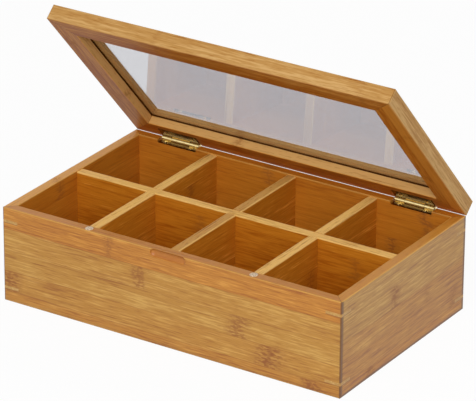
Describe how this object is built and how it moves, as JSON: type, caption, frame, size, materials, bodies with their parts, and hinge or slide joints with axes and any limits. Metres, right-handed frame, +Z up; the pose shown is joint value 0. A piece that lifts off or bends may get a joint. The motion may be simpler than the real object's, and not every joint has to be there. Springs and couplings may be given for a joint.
{
  "type": "tea bag organizer box",
  "caption": "Rectangular bamboo tea box divided into open compartments, with a hinged lid whose mitred frame holds a clear window.",
  "frame": {"origin": "centre of the bottom panel's underside, on the surface that the box stands on", "axes": "+X along the length to the right as seen from the front, +Y from the front to the hinges, +Z up; the lid stands open at 48 degrees"},
  "size_m": [0.314, 0.1983, 0.2292],
  "materials": {
    "outer_bamboo": "satin varnished bamboo, grain along the panel",
    "side_bamboo": "satin varnished bamboo, grain along the panel",
    "bottom_bamboo": "thin varnished bamboo board",
    "long_divider_bamboo": "satin varnished bamboo",
    "short_divider_bamboo": "satin varnished bamboo",
    "key_bamboo": "pale bamboo, sanded flush",
    "lid_rail_bamboo": "satin varnished bamboo",
    "lid_stile_bamboo": "satin varnished bamboo",
    "clear_pane": "clear acrylic sheet",
    "hinge_brass": "bright brass",
    "screw_brass": "bright brass",
    "clear_rubber": "clear silicone"
  },
  "bodies": {
    "box": {"front_panel": "outer_bamboo", "rear_panel": "outer_bamboo", "left_side_panel": "side_bamboo", "right_side_panel": "side_bamboo", "bottom_panel": "bottom_bamboo", "long_divider": "long_divider_bamboo", "left_divider": "short_divider_bamboo", "centre_divider": "short_divider_bamboo", "right_divider": "short_divider_bamboo", "front_left_keys": "key_bamboo", "front_right_keys": "key_bamboo", "rear_left_keys": "key_bamboo", "rear_right_keys": "key_bamboo", "left_bumper_pad": "clear_rubber", "right_bumper_pad": "clear_rubber", "left_hinge_box_leaf": "hinge_brass", "left_hinge_pin": "hinge_brass", "left_hinge_box_screws": "screw_brass", "right_hinge_box_leaf": "hinge_brass", "right_hinge_pin": "hinge_brass", "right_hinge_box_screws": "screw_brass"},
    "lid": {"lid_front_rail": "lid_rail_bamboo", "lid_rear_rail": "lid_rail_bamboo", "lid_left_stile": "lid_stile_bamboo", "lid_right_stile": "lid_stile_bamboo", "lid_pane": "clear_pane", "left_hinge_lid_leaf": "hinge_brass", "left_hinge_lid_screws": "screw_brass", "right_hinge_lid_leaf": "hinge_brass", "right_hinge_lid_screws": "screw_brass"}
  },
  "joints": [
    {"name": "lid_hinge", "type": "hinge", "parent": "box", "child": "lid", "pos_m": [0, 0.0926, 0.0809], "axis": [-1, 0, 0], "range_deg": [-48, 52]}
  ]
}
